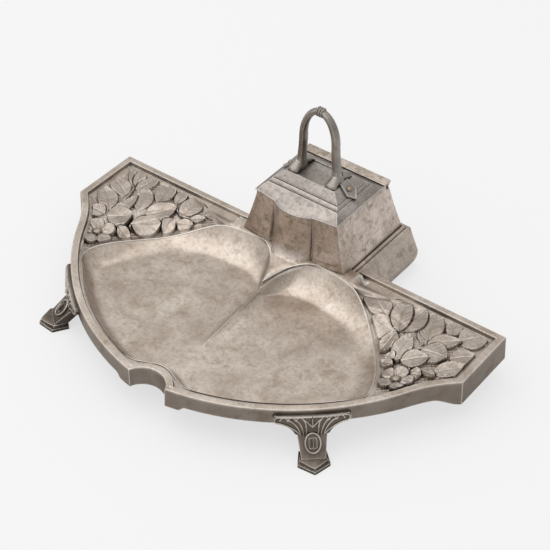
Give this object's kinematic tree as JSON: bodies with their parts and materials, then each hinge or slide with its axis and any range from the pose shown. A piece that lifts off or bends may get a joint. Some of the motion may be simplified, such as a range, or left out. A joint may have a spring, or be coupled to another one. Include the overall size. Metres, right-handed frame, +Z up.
{
  "type": "desk inkstand",
  "caption": "Fan-shaped metal pen tray with two lobes and leaf panels, a flared ink house with a hinged hipped lid, an arched handle, a glass liner and two front feet.",
  "frame": {"origin": "on the table, below the middle of the object's bounding box", "axes": "+Z up, +X to the right seen from the tray's notch, +Y from the notch towards the ink house"},
  "size_m": [0.3028, 0.2168, 0.1297],
  "materials": {
    "tray_plate": "aged silver plate, satin, with soft tarnish",
    "house_plate": "aged silver plate with brown and lilac tarnish",
    "lid_plate": "aged silver plate, darkened",
    "handle_plate": "aged silver plate, worn bright on its edges",
    "foot_plate": "cast, silver plated, dark in its hollows",
    "hidden_metal": "dull metal with green spots near the pin",
    "liner_glass": "clear moulded glass"
  },
  "bodies": {
    "root": {"tray": "tray_plate", "plinth": "house_plate", "base_moulding": "house_plate", "ink_house": "house_plate", "liner_collar": "hidden_metal", "glass_liner": "liner_glass", "house_hinge_leaf": "hidden_metal", "hinge_pin": "hidden_metal", "hinge_rivets": "hidden_metal", "front_foot_left": "foot_plate", "front_foot_right": "foot_plate"},
    "lid": {"lid": "lid_plate", "lid_flange": "lid_plate", "lid_hinge_leaf": "hidden_metal", "handle": "handle_plate", "handle_tie": "handle_plate", "handle_rivets": "handle_plate"}
  },
  "joints": [
    {"name": "lid_hinge", "type": "hinge", "parent": "root", "child": "lid", "pos_m": [0, 0.09683, 0.0644], "axis": [-1, 0, 0], "range_deg": [0, 105]}
  ]
}
